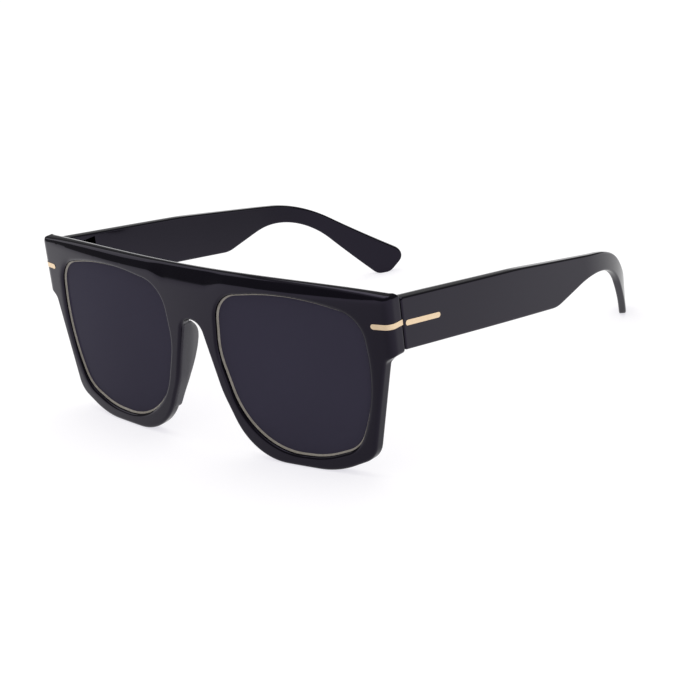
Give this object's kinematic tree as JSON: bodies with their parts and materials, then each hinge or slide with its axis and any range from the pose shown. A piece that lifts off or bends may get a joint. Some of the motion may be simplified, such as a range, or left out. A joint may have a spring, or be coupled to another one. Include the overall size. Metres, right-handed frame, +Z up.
{
  "type": "reading sunglasses",
  "caption": "Wide square sunglasses in black gloss plastic with tinted lenses, broad temples that fold on barrel hinges, bonded nose pads and thin rose-gold inlays at the corners.",
  "frame": {"origin": "on the table under the middle of the open glasses' bounding box", "axes": "+X to the wearer's left, +Y back from the front towards the temple tips, +Z up"},
  "size_m": [0.1452, 0.155, 0.0581],
  "materials": {
    "black_plastic": "polished black",
    "pad_plastic": "satin black",
    "tinted_lens": "dark blue-grey tint with an anti-reflection coat",
    "hinge_metal": "bright plated nickel silver",
    "screw_steel": "turned steel",
    "rose_gold_inlay": "polished pale rose gold"
  },
  "bodies": {
    "front": {"front_frame": "black_plastic", "lens_left": "tinted_lens", "lens_right": "tinted_lens", "nose_pad_left": "pad_plastic", "nose_pad_right": "pad_plastic", "front_hinge_leaf_left": "hinge_metal", "front_hinge_leaf_right": "hinge_metal", "front_leaf_screws_left": "screw_steel", "front_leaf_screws_right": "screw_steel", "front_inlay_left": "rose_gold_inlay", "front_inlay_right": "rose_gold_inlay"},
    "left_temple": {"temple_left": "black_plastic", "temple_core_wire_left": "screw_steel", "temple_hinge_leaf_left": "hinge_metal", "temple_leaf_screws_left": "screw_steel", "hinge_screw_left": "screw_steel", "temple_inlay_left": "rose_gold_inlay"},
    "right_temple": {"temple_right": "black_plastic", "temple_core_wire_right": "screw_steel", "temple_hinge_leaf_right": "hinge_metal", "temple_leaf_screws_right": "screw_steel", "hinge_screw_right": "screw_steel", "temple_inlay_right": "rose_gold_inlay"}
  },
  "joints": [
    {"name": "left_temple_fold", "type": "hinge", "parent": "front", "child": "left_temple", "pos_m": [0.0666, -0.06172, 0.04635], "axis": [0, 0, 1], "range_deg": [0, 84.5]},
    {"name": "right_temple_fold", "type": "hinge", "parent": "front", "child": "right_temple", "pos_m": [-0.0666, -0.06172, 0.04635], "axis": [0, 0, -1], "range_deg": [0, 68]}
  ]
}
